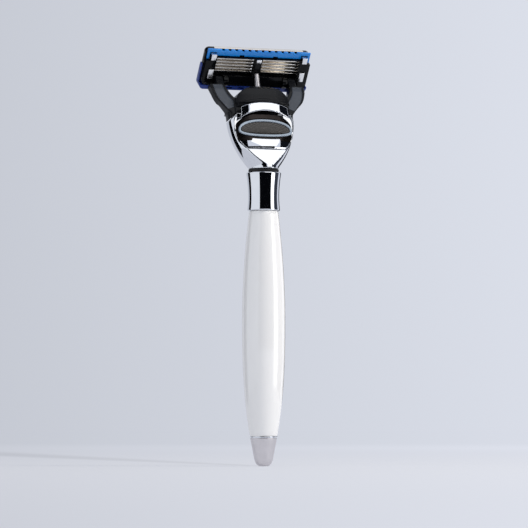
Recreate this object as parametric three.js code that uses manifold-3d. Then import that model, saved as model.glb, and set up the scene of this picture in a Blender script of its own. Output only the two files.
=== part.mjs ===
// Cartridge razor: resin handle, plated head with an eject button, and a five-blade pivoting cartridge.
// Millimetres, +Z up along the handle. The button and the trimmer face -Y, the blades face +Y and up.
import * as THREE from 'three';
import { mergeVertices } from 'three/addons/utils/BufferGeometryUtils.js';
import Module from 'manifold-3d';

const wasm = await Module();
wasm.setup();

const roundSegments = 36;
const gap = 0.3;          // between neighbours that don't slide on each other
const screwGap = 0.25;    // around rods, pins and screws
const cutExtra = 1;       // how far a cutting tool runs past what it cuts

// Handle, from the tip upwards
const tipHeight = 10.1;
const tipFootRadius = 1;
const tipNoseRadius = 3.55;
const tipNoseHeight = 3.6;
const tipRimRadius = 4.82;
const tipSocketDepth = 7;
const tipRingHeight = 0.5;
const tipRingRadius = 4.98;
const faceGap = 0.1;      // between the stacked round pieces of the handle
const rodRadius = 1.5;
const barrelLength = 81;
const barrelFootRadius = 4.97;
const barrelWidestRadius = 7.8;
const barrelWidestAt = 0.52;   // share of the barrel's length
const barrelHeadRadius = 5.24;
const barrelBoreRadius = 2.2;
const bushRadius = 3.4;
const bushLength = 8;
const collarHeight = 13.8;
const collarFootRadius = 5.87;
const collarWaistRadius = 5.62;
const collarHeadRadius = 6.3;
const sealHeight = 1.1;
const sealRadius = 5.5;

// Head, in a frame that leans forward from the middle of the neck's foot
const headLean = THREE.MathUtils.degToRad(12);
const neckFootRadius = 5.2;
const neckHalfWidth = 12.5;
const neckHeight = 20;         // to the rim that the yoke seats on
const neckBackDepth = 7;       // behind the head's axis, at the rim
const neckFrontDepth = 5.6;
const neckFootBack = 6.4;        // depth behind the axis at the neck's foot
const neckFootFront = 4.6;
const facetSlope = 0.2;        // of the flat V-shaped facet, towards the axis per millimetre up
const creaseHeight = 6;        // where the facet ends and the button begins
const hoodHeight = 3.1;        // of the arched hood over the neck's rim
const hoodHalfWidth = 10.6;
const hoodThickness = 1.7;
const neckBackSquareness = 2;    // added to a round section's power towards the rim
const neckFrontSquareness = 1.2;
const studTop = 5;             // of the threaded stud above the neck's foot

// Button in the back of the neck
const openingHalfWidth = 11.4;
const openingWidestHeight = 14;
const openingTopHeight = 20;
const openingFootHalfWidth = 7.5;
const buttonTravel = 2.4;
const buttonPlate = 1.5;
const buttonLip = 0.9;         // how far the thumb lip leans out over the crease
const lipHeight = 3.6;
const ringHeightUp = 4.4;      // the oval ring is an upper and a lower half-ellipse
const ringHeightDown = 2.5;
const ringBand = 1.1;
const ringInset = 0.9;         // inside the opening's widest line
const ringUpperPower = 2.2;    // squareness of the oval's upper and lower halves
const ringLowerPower = 2.7;
const ringAt = 13.1;
const ringDepth = 0.5;

// Core that the yoke docks on, with the plunger inside
const coreHalfWidth = 5.5;
const coreBack = -2.7;
const coreFront = 1.9;
const coreFoot = 14.6;
const coreTop = 27.5;
const plungerY = -0.5;
const plungerRadius = 1;
const plungerTipRadius = 0.8;
const plungerTop = 35.4;      // centre of its round tip
const plungerFlangeAt = 21.8;
const plungerFlangeRadius = 1.6;
const plungerBoreRadius = 1.85;
const corePlugHeight = 1.2;
const coreScrewRadius = 0.6;
const coreScrewX = 4.3;
const coreScrewZ = 17.5;
const bridgeFoot = 6.2;
const bridgeHeight = 2.8;
const fingerTop = 17.4;

// Yoke that carries the cartridge
const hubTop = 30.4;
const hubHalfWidth = 10.2;
const hubFront = 5;
const skirtDrop = 2.6;         // how far the yoke's skirt reaches down at the neck's sides
const skirtInner = 9.6;
const armBack = 1.6;           // half the arm's thickness
const armTop = 31.6;
const pivotY = 2.9;
const pivotZ = 34;
const trunnionRadius = 1;
const bossRadius = 1.8;
const bossInner = 12.6;
const bossOuter = 15.4;
const trunnionLength = 1.4;

// Cartridge, in a frame at its pivot: X along the blades, Y out of the blade face, Z from guard to cap
const cartridgeTilt = THREE.MathUtils.degToRad(35);
const frameHalfWidth = 20.2;
const frameFoot = -1.8;
const frameTop = 11.7;
const frameStep = 9.4;         // above it the frame's back steps forward, behind the trimmer
const stepBack = 1.8;
const frameBack = -0.2;
const frameFront = 3.8;
const barFront = 2.7;          // front of the frame below the blades
const windowInner = 1.5;
const windowFoot = 2;
const windowTop = 9.2;
const clipInset = 2.6;          // middle of a clip, in from the frame's end
const windowInset = 1.4;        // outer end of a window, in from the middle of a clip
const bladeInset = 1.7;         // end of a blade, in from the frame's end
const guardOverhang = 0.6;
const bladeTrough = 1.2;       // depth at which the blades' trough begins
const bladeCount = 5;
const firstBlade = 3.1;
const bladePitch = 1.25;
const bladeLean = THREE.MathUtils.degToRad(25);
const clipWidth = 1.9;
const clipThickness = 0.4;
const clipFoot = 1.1;
const clipTop = 10.7;
const stripLegFoot = 8.3;      // of the blue trimmer strip's end legs
const guardFoot = -3.7;
const finCount = 6;

// Lengths that follow from the sizes above
const ringFoot = tipHeight + faceGap;
const barrelFoot = ringFoot + tipRingHeight + faceGap;
const barrelTop = barrelFoot + barrelLength;
const collarFoot = barrelTop + faceGap;
const collarTop = collarFoot + collarHeight;
const sealFoot = collarTop + faceGap;
const neckFoot = sealFoot + sealHeight + faceGap;
const hoodTop = neckHeight + hoodHeight;
const plateOut = -(neckBackDepth - hoodThickness - gap - 0.2);
const plateIn = plateOut + buttonPlate;
const creaseY = -neckFootBack + facetSlope * creaseHeight;
const fingerFront = coreFront + 1.9;
const ringHalfWidth = openingHalfWidth - ringInset;
const clipAt = frameHalfWidth - clipInset;
const windowOuter = clipAt - windowInset;
const bladeLength = 2 * (frameHalfWidth - bladeInset);
const guardHalfWidth = frameHalfWidth + guardOverhang;

const looks = {
  satinNickel: { color: 0xb9b6bb, roughness: 0.38, metalness: 1 },
  chromePlate: { color: 0xd6d9de, roughness: 0.06, metalness: 1 },
  whiteResin: { color: 0xf2f2f0, roughness: 0.12, metalness: 0 },
  brass: { color: 0xc9a75b, roughness: 0.35, metalness: 1 },
  steel: { color: 0xa9abae, roughness: 0.3, metalness: 1 },
  blackRubber: { color: 0x151517, roughness: 0.7, metalness: 0 },
  blackPlastic: { color: 0x26292e, roughness: 0.45, metalness: 0 },
  glossBlack: { color: 0x1b1c1f, roughness: 0.1, metalness: 0 },
  greyRing: { color: 0xaab4bd, roughness: 0.3, metalness: 1 },
  trimmerBlue: { color: 0x1f74cf, roughness: 0.3, metalness: 0 },
  guardBlue: { color: 0x1e3a86, roughness: 0.35, metalness: 0 },
  lubeStrip: { color: 0xc9d8dc, roughness: 0.6, metalness: 0 },
  bladeSteel: { color: 0xd2d3d4, roughness: 0.18, metalness: 1 },
};

// A closed manifold-3d solid from a three.js geometry
function solid(geometry) {
  const plain = geometry.clone();
  plain.deleteAttribute('normal');
  plain.deleteAttribute('uv');
  const merged = mergeVertices(plain, 1e-4);
  const mesh = new wasm.Mesh({
    numProp: 3,
    vertProperties: Float32Array.from(merged.attributes.position.array),
    triVerts: Uint32Array.from(merged.index.array),
  });
  return new wasm.Manifold(mesh);
}

function geometryOf(body) {
  const { vertProperties, triVerts } = body.getMesh();
  const geometry = new THREE.BufferGeometry();
  geometry.setAttribute('position', new THREE.BufferAttribute(Float32Array.from(vertProperties), 3));
  geometry.setIndex(new THREE.BufferAttribute(Uint32Array.from(triVerts), 1));
  geometry.computeVertexNormals();
  return geometry;
}

function addPiece(group, name, body, look) {
  const geometry = body.isBufferGeometry ? body : geometryOf(body);
  const mesh = new THREE.Mesh(geometry, new THREE.MeshStandardMaterial(look));
  mesh.name = name;
  group.add(mesh);
}

const vec = (list) => list.map(([a, b]) => new THREE.Vector2(a, b));

// Distances a and b from the middle, on one side of it, as lowest and highest X
const span = (side, a, b) => [Math.min(side * a, side * b), Math.max(side * a, side * b)];

// Turned piece: the outline's points are radius and height
function turned(outline, segments = roundSegments) {
  return new THREE.LatheGeometry(vec(outline), segments).rotateX(Math.PI / 2);
}

function tube(inner, outer, foot, height, segments = roundSegments) {
  const top = foot + height;
  return turned([[inner, foot], [outer, foot], [outer, top], [inner, top], [inner, foot]], segments);
}

function rod(radius, foot, height, segments = 16) {
  return turned([[0, foot], [radius, foot], [radius, foot + height], [0, foot + height]], segments);
}

function box(x0, x1, y0, y1, z0, z1) {
  const geometry = new THREE.BoxGeometry(x1 - x0, y1 - y0, z1 - z0);
  return geometry.translate((x0 + x1) / 2, (y0 + y1) / 2, (z0 + z1) / 2);
}

// An X-Z outline made thick along Y
function plateY(shape, y0, y1) {
  const settings = { depth: y1 - y0, bevelEnabled: false, curveSegments: 10 };
  return new THREE.ExtrudeGeometry(shape, settings).rotateX(Math.PI / 2).translate(0, y1, 0);
}

// A Y-Z outline made long along X
function barX(shape, x0, x1) {
  const axes = new THREE.Matrix4().makeBasis(
    new THREE.Vector3(0, 1, 0), new THREE.Vector3(0, 0, 1), new THREE.Vector3(1, 0, 0));
  const settings = { depth: x1 - x0, bevelEnabled: false, curveSegments: 8 };
  return new THREE.ExtrudeGeometry(shape, settings).applyMatrix4(axes).translate(x0, 0, 0);
}

function polygon(list) {
  return new THREE.Shape(vec(list));
}

// A pin along X, round the given point of the Y-Z plane
function pinX(radius, x0, x1, y, z, segments = 20) {
  return new THREE.CylinderGeometry(radius, radius, x1 - x0, segments)
    .rotateZ(Math.PI / 2).translate((x0 + x1) / 2, y, z);
}

// A round coil spring along Z with closed ends
function coil(radius, wire, foot, height, turns) {
  const points = [];
  const steps = Math.round(turns * 12);
  for (let i = 0; i <= steps; i += 1) {
    const angle = (i / 12) * Math.PI * 2;
    const z = foot + wire + (height - 2 * wire) * (i / steps);
    points.push(new THREE.Vector3(radius * Math.cos(angle), radius * Math.sin(angle), z));
  }
  const section = new THREE.Shape().absarc(0, 0, wire, 0, Math.PI * 2);
  const path = new THREE.CatmullRomCurve3(points);
  return new THREE.ExtrudeGeometry(section, {
    steps, curveSegments: 3, bevelEnabled: false, extrudePath: path,
  });
}

const root = new THREE.Group();
const head = new THREE.Group();
head.position.set(0, 0, neckFoot);
head.rotation.x = -headLean;
root.add(head);

const cartridge = new THREE.Group();
cartridge.position.set(0, pivotY, pivotZ);
cartridge.rotation.x = headLean + cartridgeTilt;
head.add(cartridge);

// ---- Handle ----

function buildHandle() {
  const nose = new THREE.QuadraticBezierCurve(
    new THREE.Vector2(tipFootRadius, 0), new THREE.Vector2(tipNoseRadius * 0.87, 0),
    new THREE.Vector2(tipNoseRadius, tipNoseHeight)).getPoints(7).map((p) => [p.x, p.y]);
  const socket = rodRadius + screwGap;
  addPiece(root, 'tip_cap', turned([
    [0, 0], ...nose, [tipRimRadius, tipHeight], [socket, tipHeight],
    [socket, tipHeight - tipSocketDepth], [0, tipHeight - tipSocketDepth],
  ]), looks.satinNickel);
  addPiece(root, 'tip_ring', tube(socket, tipRingRadius, ringFoot, tipRingHeight), looks.chromePlate);

  const widest = barrelFoot + barrelLength * barrelWidestAt;
  const swell = barrelWidestRadius - barrelFootRadius;
  const narrow = barrelWidestRadius - barrelHeadRadius;
  const skin = [];
  const rings = 16;
  for (let i = 0; i <= rings; i += 1) {
    const z = barrelFoot + barrelLength * (i / rings) ** 1.15;
    const low = (widest - z) / (widest - barrelFoot);
    const high = (z - widest) / (barrelTop - widest);
    const radius = barrelWidestRadius - (z < widest ? swell * low ** 2.6 : narrow * high ** 1.85);
    skin.push([radius, z]);
  }
  const seat = bushRadius + faceGap;
  const seatDepth = bushLength + gap;
  addPiece(root, 'resin_barrel', turned([
    ...skin, [seat, barrelTop], [seat, barrelTop - seatDepth], [barrelBoreRadius, barrelTop - seatDepth],
    [barrelBoreRadius, barrelFoot + seatDepth], [seat, barrelFoot + seatDepth], [seat, barrelFoot], skin[0],
  ]), looks.whiteResin);
  addPiece(root, 'lower_bush', tube(socket, bushRadius, barrelFoot + faceGap, bushLength, 24), looks.brass);
  const upperBushFoot = barrelTop - bushLength - faceGap;
  addPiece(root, 'upper_bush', tube(socket, bushRadius, upperBushFoot, bushLength, 24), looks.brass);

  const rodFoot = tipHeight - tipSocketDepth + gap;
  const rodTop = upperBushFoot + bushLength / 2 - gap;
  addPiece(root, 'tie_rod', rod(rodRadius, rodFoot, rodTop - rodFoot), looks.steel);
  const studLength = neckFoot + studTop - rodTop - 2 * gap;
  addPiece(root, 'neck_stud', rod(rodRadius, rodTop + gap, studLength), looks.steel);

  const waist = new THREE.QuadraticBezierCurve(
    new THREE.Vector2(collarFootRadius, collarFoot + 0.5),
    new THREE.Vector2(collarWaistRadius * 2 - (collarFootRadius + collarHeadRadius) / 2,
      collarFoot + collarHeight * 0.45),
    new THREE.Vector2(collarHeadRadius, collarTop - 0.4)).getPoints(8).map((p) => [p.x, p.y]);
  addPiece(root, 'collar', turned([
    [socket, collarFoot], [collarFootRadius - 0.2, collarFoot], ...waist,
    [collarHeadRadius - 0.3, collarTop], [socket, collarTop], [socket, collarFoot],
  ], 40), looks.chromePlate);
  addPiece(root, 'collar_seal', tube(socket, sealRadius, sealFoot, sealHeight), looks.blackRubber);
}

// ---- Neck ----

const ease = (t) => 1 - (1 - Math.min(Math.max(t, 0), 1)) ** 2.2;

// Half-widths, depths and squareness of the neck's section at a height over its foot
function neckSection(z) {
  const t = ease(z / neckHeight);
  const share = Math.min(Math.max(z / neckHeight, 0), 1);
  return {
    halfWidth: neckFootRadius + (neckHalfWidth - neckFootRadius) * t,
    back: neckFootBack + (neckBackDepth - neckFootBack) * share,
    front: neckFootFront + (neckFrontDepth - neckFootFront) * share,
    backPower: 2 + neckBackSquareness * t,
    frontPower: 2 + neckFrontSquareness * t,
  };
}

function neckBlank() {
  const levels = 18;
  const around = 48;
  const low = -2.5;
  const high = hoodTop + cutExtra;
  const geometry = new THREE.CylinderGeometry(1, 1, 1, around, levels).rotateX(Math.PI / 2);
  const position = geometry.attributes.position;
  for (let i = 0; i < position.count; i += 1) {
    const z = low + (position.getZ(i) + 0.5) * (high - low);
    const across = position.getX(i);
    const along = position.getY(i);
    const section = neckSection(z);
    const depth = along < 0 ? section.back : section.front;
    const power = 2 / (along < 0 ? section.backPower : section.frontPower);
    const x = Math.sign(across) * section.halfWidth * Math.abs(across) ** power;
    const y = Math.sign(along) * depth * Math.abs(along) ** power;
    position.setXYZ(i, Math.abs(across) < 1e-6 ? 0 : x, Math.abs(along) < 1e-6 ? 0 : y, z);
  }
  return solid(geometry);
}

// The button's opening: straight foot at the crease, sides that flare, arched top
function openingShape(inset, lift) {
  const half = openingHalfWidth - inset;
  const foot = creaseHeight + inset;
  const shape = new THREE.Shape();
  shape.moveTo(-(openingFootHalfWidth - inset), foot);
  shape.lineTo(openingFootHalfWidth - inset, foot);
  shape.quadraticCurveTo(half, foot + 3.5, half, openingWidestHeight);
  shape.lineTo(half, openingWidestHeight + lift);
  shape.absellipse(0, openingWidestHeight + lift, half, openingTopHeight - openingWidestHeight - inset,
    0, Math.PI, false);
  shape.lineTo(-half, openingWidestHeight);
  shape.quadraticCurveTo(-half, foot + 3.5, -(openingFootHalfWidth - inset), foot);
  return shape;
}

// Height of the neck's rim at a distance from the middle: it drops towards the sides
function rimHeight(x) {
  const share = (x - skirtInner) / (neckHalfWidth - skirtInner);
  return neckHeight - skirtDrop * Math.max(share, 0);
}

// Outline of everything above the neck's rim and its arched hood
function aboveHood() {
  const shape = new THREE.Shape();
  const far = neckHalfWidth + cutExtra;
  shape.moveTo(-far, rimHeight(far));
  shape.lineTo(-hoodHalfWidth, rimHeight(hoodHalfWidth));
  shape.absellipse(0, neckHeight, hoodHalfWidth, hoodHeight, Math.PI, 0, true);
  shape.lineTo(hoodHalfWidth, rimHeight(hoodHalfWidth));
  shape.lineTo(far, rimHeight(far));
  shape.lineTo(far, hoodTop + 2 * cutExtra);
  shape.lineTo(-far, hoodTop + 2 * cutExtra);
  return shape;
}

// Outline above the rim without its hood, moved up by the given rise
function aboveRim(rise, top) {
  const far = neckHalfWidth + cutExtra;
  const low = rimHeight(far) + rise;
  const wide = 2 * far;
  return polygon([
    [-wide, low], [-far, low], [-skirtInner, neckHeight + rise], [skirtInner, neckHeight + rise], [far, low],
    [wide, low], [wide, top], [-wide, top],
  ]);
}

// The two core screws along Y, made larger all round by the given play
function coreScrewTool(play, reach, side = 0) {
  const sides = side ? [side] : [-1, 1];
  const bodies = sides.map((s) => {
    const length = fingerFront + 0.4 - coreBack + reach;
    const shank = new THREE.CylinderGeometry(coreScrewRadius + play, coreScrewRadius + play, length, 16)
      .translate(s * coreScrewX, coreBack + 0.3 + length / 2, coreScrewZ);
    return solid(shank);
  });
  return bodies.length === 1 ? bodies[0] : bodies[0].add(bodies[1]);
}

function buildNeck() {
  const far = neckHalfWidth + cutExtra;
  const hoodIn = -(neckBackDepth - hoodThickness);
  const coreRoom = box(-coreHalfWidth - gap, coreHalfWidth + gap, coreBack - gap, coreFront + gap,
    coreFoot - gap, hoodTop + cutExtra);
  const bridgeRoom = box(-coreHalfWidth - gap, coreHalfWidth + gap, plateIn, fingerFront + gap,
    bridgeFoot - gap, hoodTop + cutExtra);
  const facet = polygon([
    [-far, -10], [-neckFootBack - 10 * facetSlope, -10], [creaseY, creaseHeight], [-far, creaseHeight],
  ]);
  const foot = new THREE.BoxGeometry(40, 40, 10).translate(0, 0, -5).rotateX(headLean);
  const studHole = rod(rodRadius + screwGap, -8, studTop + 8 + gap).rotateX(headLean);
  const body = neckBlank()
    .subtract(solid(barX(facet, -far, far)))
    .subtract(solid(plateY(aboveHood(), -far, far)))
    .subtract(solid(plateY(aboveRim(0, hoodTop + 2), hoodIn, far)))
    .subtract(solid(plateY(openingShape(0, 0), -far, plateIn + gap)))
    .subtract(solid(plateY(openingShape(0, buttonTravel + gap), hoodIn, plateIn + gap)))
    .subtract(solid(coreRoom))
    .subtract(solid(bridgeRoom))
    .subtract(solid(foot))
    .subtract(solid(studHole))
    .subtract(coreScrewTool(screwGap, 0.3));
  addPiece(head, 'neck_shell', body, looks.chromePlate);
}

// ---- Button ----

function ovalShape(inset) {
  const half = ringHalfWidth - inset;
  const steps = 40;
  const points = [];
  for (let i = 0; i < steps; i += 1) {
    const angle = (i / steps) * Math.PI * 2;
    const upper = i < steps / 2;
    const height = (upper ? ringHeightUp : ringHeightDown) - inset;
    const power = 2 / (upper ? ringUpperPower : ringLowerPower);
    const across = Math.cos(angle);
    const up = Math.sin(angle);
    points.push([
      half * Math.sign(across) * Math.abs(across) ** power,
      ringAt + height * Math.sign(up) * Math.abs(up) ** power,
    ]);
  }
  return polygon(points);
}

function buildButton() {
  const inset = gap;
  const far = 20;
  const lipTop = creaseHeight + lipHeight;
  const lip = polygon([
    [plateIn, creaseHeight + inset], [creaseY, creaseHeight + inset],
    [creaseY - buttonLip, lipTop], [creaseY - buttonLip + 0.3, lipTop + 0.4], [plateIn, lipTop + 0.4],
  ]);
  const plate = solid(box(-far, far, plateOut, plateIn, creaseHeight, far));
  const sideSlopes = plate.add(solid(barX(lip, -far, far)));
  const cap = solid(plateY(openingShape(inset, 0), -far, plateIn + cutExtra))
    .intersect(sideSlopes)
    .subtract(solid(plateY(ovalShape(0), -far, plateOut + ringDepth)))
    .subtract(solid(box(-far, far, -far, far, 19.2, far + cutExtra)))
    .subtract(solid(new THREE.CylinderGeometry(0.95, 0.95, 10, 16)
      .translate(0, plateIn + 5 - 1.2, bridgeFoot + bridgeHeight / 2)));
  addPiece(head, 'button_cap', cap, looks.chromePlate);
  const ringBody = solid(plateY(ovalShape(0.15), plateOut - 0.15, plateOut + ringDepth - 0.1))
    .subtract(solid(plateY(ovalShape(ringBand), -far, far)));
  addPiece(head, 'button_ring', ringBody, looks.greyRing);
  addPiece(head, 'button_inlay',
    solid(plateY(ovalShape(ringBand + 0.1), plateOut + 0.05, plateOut + ringDepth - 0.1)), looks.glossBlack);
}

// ---- Inside the head ----

function buildMechanism() {
  const far = 20;
  const bridgeTop = bridgeFoot + bridgeHeight;
  const screwZ = bridgeFoot + bridgeHeight / 2;
  const fingerBack = coreFront + gap + 0.1;
  const screwHole = new THREE.CylinderGeometry(0.95, 0.95, 2 * far, 16).translate(0, 0, screwZ);
  const headPocket = new THREE.CylinderGeometry(1.9, 1.9, 3, 20).translate(0, fingerFront - 0.2, screwZ);
  const bridge = solid(box(-coreHalfWidth, coreHalfWidth, plateIn + gap, fingerFront, bridgeFoot, bridgeTop));
  const fingers = solid(box(-3.2, 3.2, fingerBack, fingerFront, bridgeTop - 1, fingerTop))
    .subtract(solid(box(-1.6, 1.6, -far, far, bridgeTop + 1, far)));
  addPiece(head, 'ejector', bridge.add(fingers).subtract(solid(screwHole)).subtract(solid(headPocket)),
    looks.blackPlastic);
  const screwHead = new THREE.CylinderGeometry(1.6, 1.6, 1, 20).translate(0, fingerFront - 1, screwZ);
  const shankFoot = plateIn - 0.9;
  const shankLength = fingerFront - 1 - shankFoot;
  const shank = new THREE.CylinderGeometry(0.7, 0.7, shankLength, 12)
    .translate(0, shankFoot + shankLength / 2, screwZ);
  addPiece(head, 'button_screw', solid(screwHead).add(solid(shank)), looks.steel);

  const springFoot = bridgeTop + 0.15;
  const springHeight = coreFoot - 0.15 - springFoot;
  const returnSpring = coil(1.6, 0.22, springFoot, springHeight, 4).translate(0, plungerY, 0);
  addPiece(head, 'button_spring', returnSpring, looks.steel);

  const guideRadius = plungerRadius + 0.25;
  const core = solid(box(-coreHalfWidth, coreHalfWidth, coreBack, coreFront, coreFoot, coreTop))
    .subtract(solid(rod(plungerBoreRadius, coreFoot - 1, 25 - coreFoot, 24).translate(0, plungerY, 0)))
    .subtract(solid(rod(guideRadius, coreFoot, 20, 24).translate(0, plungerY, 0)))
    .subtract(coreScrewTool(screwGap, 1))
    .subtract(solid(box(-far, far, coreBack - 1, coreBack + 0.9, coreScrewZ - 1.4, coreScrewZ + 1.4)));
  addPiece(head, 'dock_core', core, looks.blackPlastic);
  addPiece(head, 'plunger_plug', rod(plungerBoreRadius - 0.1, coreFoot + 0.1, corePlugHeight, 24)
    .translate(0, plungerY, 0), looks.brass);
  [[-1, 'left'], [1, 'right']].forEach(([side, word]) => {
    const flatHead = new THREE.CylinderGeometry(1.1, 1.1, 0.6, 16)
      .translate(side * coreScrewX, coreBack + 0.4, coreScrewZ);
    addPiece(head, `core_screw_${word}`, coreScrewTool(0, 0, side).add(solid(flatHead)), looks.steel);
  });

  const flangeThickness = 0.8;
  const plungerSpringFoot = coreFoot + corePlugHeight + 0.2;
  addPiece(head, 'plunger_spring', coil(1.3, 0.18, plungerSpringFoot,
    plungerFlangeAt - 0.1 - plungerSpringFoot, 5).translate(0, plungerY, 0), looks.steel);
  const dome = [];
  for (let i = 0; i <= 5; i += 1) {
    const angle = (i / 5) * Math.PI / 2;
    dome.push([plungerTipRadius * Math.cos(angle), plungerTop + plungerTipRadius * Math.sin(angle)]);
  }
  dome[5][0] = 0;
  addPiece(head, 'plunger', turned([
    [0, plungerFlangeAt], [plungerFlangeRadius, plungerFlangeAt],
    [plungerFlangeRadius, plungerFlangeAt + flangeThickness],
    [plungerRadius, plungerFlangeAt + flangeThickness], [plungerRadius, plungerTop - 5], ...dome,
  ], 20).translate(0, plungerY, 0), looks.satinNickel);
}

// ---- Yoke ----

// One arm's outline seen from behind: outer edge up, then the edge along the gap down
function armShape(side) {
  const shape = new THREE.Shape();
  shape.moveTo(side * 6, neckHeight - skirtDrop);
  shape.lineTo(side * (neckHalfWidth - 0.1), neckHeight - skirtDrop);
  shape.lineTo(side * neckHalfWidth, neckHeight + 0.5);
  shape.quadraticCurveTo(side * 13.8, 22.2, side * 15.6, 24);
  shape.quadraticCurveTo(side * 17.8, 26.4, side * 18.3, armTop);
  shape.lineTo(side * bossInner, armTop);
  shape.quadraticCurveTo(side * 12, 28, side * 9.4, 25.4);
  shape.lineTo(side * 6, 24.5);
  return shape;
}

function buildYoke() {
  const far = 20;
  const hubBack = -(neckBackDepth - hoodThickness) + gap;
  const aboveButton = openingTopHeight + buttonTravel;
  const hubSide = polygon([
    [hubBack, aboveButton], [hubBack, hoodTop + gap], [hubBack - 0.7, hoodTop + gap], [hubBack - 0.7, 26.5],
    [hubBack - 0.2, 28.8], [hubBack + 1.4, hubTop - 0.3], [-2.4, hubTop], [1.6, hubTop], [3.6, hubTop - 1.2],
    [hubFront, 26.4], [hubFront, neckHeight - skirtDrop], [plateIn + gap, neckHeight - skirtDrop],
    [plateIn + gap, aboveButton],
  ]);
  const arch = new THREE.Shape();
  arch.moveTo(-hubHalfWidth, neckHeight - skirtDrop);
  arch.lineTo(hubHalfWidth, neckHeight - skirtDrop);
  arch.lineTo(hubHalfWidth, 24);
  arch.absellipse(0, 24, hubHalfWidth, hubTop - 24, 0, Math.PI, false);
  const hub = solid(barX(hubSide, -far, far)).intersect(solid(plateY(arch, -far, far)));

  // The arms rise from the skirt, beside the hub, and lean to the pivot
  const seam = neckHeight + 0.6;
  const elbow = new THREE.Vector2(0.2, 28.6);
  const reach = new THREE.Vector2(pivotY, pivotZ).sub(elbow).normalize();
  const armEnd = new THREE.Vector2(pivotY, pivotZ).addScaledVector(reach, -2.6);
  const off = (point, distance) => [point.x + reach.y * distance, point.y - reach.x * distance];
  const armSide = polygon([
    [plateIn + gap, neckHeight - skirtDrop], [hubFront, neckHeight - skirtDrop], [hubFront, seam],
    [2, seam + 0.5], [1.3, 24], off(elbow, armBack), off(armEnd, armBack),
    off(armEnd, -armBack), off(elbow, -armBack),
    [-2.4, 25],
  ]);
  let yoke = hub;
  [-1, 1].forEach((side) => {
    const arm = solid(plateY(armShape(side), -far, far)).intersect(solid(barX(armSide, -far, far)));
    const inner = Math.min(side * bossInner, side * bossOuter);
    const outer = Math.max(side * bossInner, side * bossOuter);
    const pivot = new THREE.Vector2(pivotY, pivotZ);
    const neckOfBoss = polygon([
      off(elbow, -armBack), off(elbow, armBack), off(armEnd, armBack), off(pivot, bossRadius * 0.95),
      off(pivot, -bossRadius * 0.95), off(armEnd, -armBack),
    ]);
    yoke = yoke.add(arm)
      .add(solid(barX(neckOfBoss, inner, outer)))
      .add(solid(pinX(bossRadius, inner, outer, pivotY, pivotZ)))
      .add(solid(pinX(trunnionRadius, Math.min(inner, inner - side * trunnionLength),
        Math.max(outer - 1, outer - 1 - side * trunnionLength) - (side > 0 ? 1 : 0), pivotY, pivotZ, 16)));
  });
  const socket = solid(box(-coreHalfWidth - gap, coreHalfWidth + gap, coreBack - gap, coreFront + gap,
    neckHeight - 1, coreTop + gap));
  const plungerHole = solid(rod(plungerRadius + 0.4, neckHeight, 20, 24).translate(0, plungerY, 0));
  const clear = solid(plateY(aboveRim(gap, 60), -far, far));
  const skirt = yoke.intersect(neckBlank()).intersect(solid(box(-far, far, -far, far, 0, seam)));
  yoke = yoke.intersect(solid(box(-far, far, -far, far, seam - 0.02, 60))).add(skirt);
  addPiece(head, 'yoke', yoke.intersect(clear).subtract(socket).subtract(plungerHole), looks.blackPlastic);
}

// ---- Cartridge ----

function roundedFrame(half, foot, top, radius) {
  const shape = new THREE.Shape();
  shape.moveTo(-half + radius, foot);
  shape.lineTo(half - radius, foot);
  shape.absarc(half - radius, foot + radius, radius, -Math.PI / 2, 0, false);
  shape.lineTo(half, top - radius);
  shape.absarc(half - radius, top - radius, radius, 0, Math.PI / 2, false);
  shape.lineTo(-half + radius, top);
  shape.absarc(-half + radius, top - radius, radius, Math.PI / 2, Math.PI, false);
  shape.lineTo(-half, foot + radius);
  shape.absarc(-half + radius, foot + radius, radius, Math.PI, 1.5 * Math.PI, false);
  return shape;
}

function buildFrame() {
  const far = 30;
  const troughHalf = bladeLength / 2 + gap;
  const trayOut = 3.4;
  const trayHalf = windowOuter - 0.4;
  const lugRadius = 2.1;
  let frame = solid(plateY(roundedFrame(frameHalfWidth, frameFoot, frameTop, 1.6), frameBack, frameFront));
  const lugInner = bossInner - gap - trunnionLength;
  [-1, 1].forEach((side) => {
    const [lug0, lug1] = span(side, lugInner - 0.3, bossInner - gap);
    frame = frame.add(solid(pinX(lugRadius, lug0, lug1, 0, 0)));
  });
  frame = frame
    .subtract(solid(box(-far, far, barFront, far, frameFoot - 1, windowFoot - 0.2)))
    .subtract(solid(box(-troughHalf, troughHalf, bladeTrough, far, windowFoot, windowTop)))
    .subtract(solid(box(-far, far, -far, stepBack, frameStep, far)))
    .subtract(solid(box(-trayHalf, trayHalf, trayOut - gap, far, frameStep + 0.1, frameTop - 0.3)));
  [-1, 1].forEach((side) => {
    const [window0, window1] = span(side, windowInner, windowOuter);
    const [notch0, notch1] = span(side, bossInner - gap, bossOuter + gap);
    const [pin0, pin1] = span(side, lugInner, bossInner);
    const [slot0, slot1] = span(side, clipAt - clipWidth / 2 - gap, clipAt + clipWidth / 2 + gap);
    const [leg0, leg1] = span(side, clipAt + clipWidth / 2, frameHalfWidth + 1);
    frame = frame
      .subtract(solid(box(window0, window1, -far, far, windowFoot, windowTop)))
      .subtract(solid(pinX(bossRadius + gap, notch0, notch1, 0, 0, 24)))
      .subtract(solid(box(notch0, notch1, -far, frameBack + 0.4, -bossRadius - gap, bossRadius + gap)))
      .subtract(solid(pinX(trunnionRadius + 0.25, pin0, pin1, 0, 0)))
      .subtract(solid(box(slot0, slot1, -far, far, clipTop - clipThickness - gap, clipTop + gap)))
      .subtract(solid(box(slot0, slot1, -far, far, clipFoot - gap, clipFoot + clipThickness + gap)))
      .subtract(solid(box(leg0, leg1, -far, stepBack, stripLegFoot - gap, frameStep + 1)));
  });
  frame = frame.subtract(solid(box(-0.5, 0.5, -far, frameBack + 1, 8.3, 9.1)));
  addPiece(cartridge, 'cartridge_frame', frame, looks.blackPlastic);
}

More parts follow.
